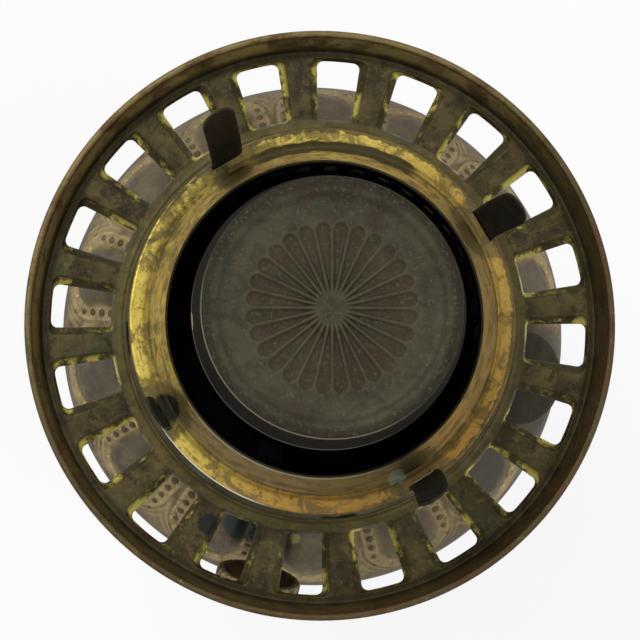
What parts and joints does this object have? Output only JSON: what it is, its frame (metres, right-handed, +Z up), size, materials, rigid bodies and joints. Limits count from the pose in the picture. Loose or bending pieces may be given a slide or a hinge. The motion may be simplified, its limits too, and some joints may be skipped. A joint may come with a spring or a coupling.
{
  "type": "oil lamp font",
  "caption": "Kerosene lamp font with a round wick burner in the middle, its windowed gallery with spring prongs, flame spreader, wick raiser and filler cap.",
  "frame": {"origin": "middle of the foot, on the ground", "axes": "+Z up along the axis of the lamp, +X to the right of the picture and +Y to its top"},
  "size_m": [0.1076, 0.1076, 0.1409],
  "materials": {
    "old_brass": "dark olive brown, tarnished",
    "worn_brass": "rubbed gold",
    "sooty_brass": "sooty, matt",
    "plated_font": "dull beige plating over brass",
    "slate_cap": "slate grey, heat darkened",
    "dark_spring": "blackened spring steel",
    "brown_knob": "brown lacquer",
    "cork": "cork",
    "packing": "graphited fibre",
    "wick_cotton": "woven cotton, charred at the top"
  },
  "bodies": {
    "font": {"air_foot": "old_brass", "font_bowl": "plated_font", "font_shoulder": "plated_font", "draft_tube": "sooty_brass", "outer_wick_tube": "sooty_brass", "burner_drum": "old_brass", "rack_housing": "old_brass", "filler_neck": "old_brass", "shaft_bushing": "old_brass", "shaft_packing": "packing", "packing_nut": "old_brass"},
    "wick_raiser": {"raiser_shaft": "old_brass", "raiser_pinion": "worn_brass", "raiser_knob": "brown_knob"},
    "wick_carriage": {"wick_rack": "worn_brass", "wick_carrier": "worn_brass", "wick": "wick_cotton"},
    "gallery": {"gallery_ring": "old_brass", "chimney_seat": "worn_brass", "gallery_skirt": "old_brass", "chimney_prong_1": "dark_spring", "chimney_prong_2": "dark_spring", "chimney_prong_3": "dark_spring", "chimney_prong_4": "dark_spring"},
    "flame_spreader": {"spreader_cap": "slate_cap", "spreader_thimble": "sooty_brass"},
    "filler_washer": {"filler_gasket": "cork"},
    "filler_cap": {"filler_cap": "plated_font"}
  },
  "joints": [
    {"name": "raiser_turn", "type": "hinge", "parent": "font", "child": "wick_raiser", "pos_m": [-0.00581, -0.02456, 0.09595], "axis": [0.2222, 0.94, 0.2588], "range_deg": [0, 197.6]},
    {"name": "wick_lift", "type": "slide", "parent": "font", "child": "wick_carriage", "axis": [0, 0, 1], "range_m": [0, 0.01]},
    {"name": "gallery_lift", "type": "slide", "parent": "font", "child": "gallery", "axis": [0, 0, 1], "range_m": [0, 0.03]},
    {"name": "spreader_lift", "type": "slide", "parent": "font", "child": "flame_spreader", "axis": [0, 0, 1], "range_m": [0, 0.02]},
    {"name": "filler_cap_rise", "type": "slide", "parent": "font", "child": "filler_washer", "axis": [0.4569, -0.108, 0.8829], "range_m": [0, 0.0024]},
    {"name": "filler_cap_turn", "type": "hinge", "parent": "filler_washer", "child": "filler_cap", "pos_m": [0.03659, -0.00865, 0.08691], "axis": [0.4569, -0.108, 0.8829], "range_deg": [0, 720]}
  ],
  "couplings": [
    {"joint": "wick_lift", "follows": "raiser_turn", "m_per_rad": 0.0028988},
    {"joint": "filler_cap_rise", "follows": "filler_cap_turn", "m_per_rad": 0.00019098}
  ]
}
